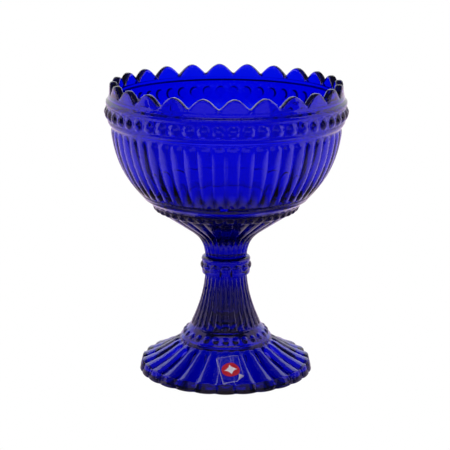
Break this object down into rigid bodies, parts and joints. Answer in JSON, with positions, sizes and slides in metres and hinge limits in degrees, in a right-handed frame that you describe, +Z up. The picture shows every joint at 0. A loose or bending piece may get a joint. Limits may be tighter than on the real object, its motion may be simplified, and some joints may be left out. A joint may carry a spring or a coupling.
{
  "type": "footed glass bowl",
  "caption": "Footed cobalt pressed-glass bowl with scalloped rim, beaded bands, ribbed body, collared stem and petalled foot with a shallow hollow.",
  "frame": {"origin": "on the table plane, on the axis of the bowl", "axes": "+Z up along the axis of the bowl; -Y is the front, where the label is stuck on the foot"},
  "size_m": [0.1264, 0.1264, 0.155],
  "materials": {
    "bowl_glass": "clear cobalt-blue pressed glass, fire polished",
    "foot_glass": "clear cobalt-blue pressed glass, fire polished",
    "clear_film": "thin clear label film",
    "red_print": "printed red ink",
    "white_print": "printed white ink"
  },
  "bodies": {
    "root": {"bowl": "bowl_glass", "foot": "foot_glass", "label_film": "clear_film", "label_disc": "red_print", "label_star": "white_print"}
  },
  "joints": []
}
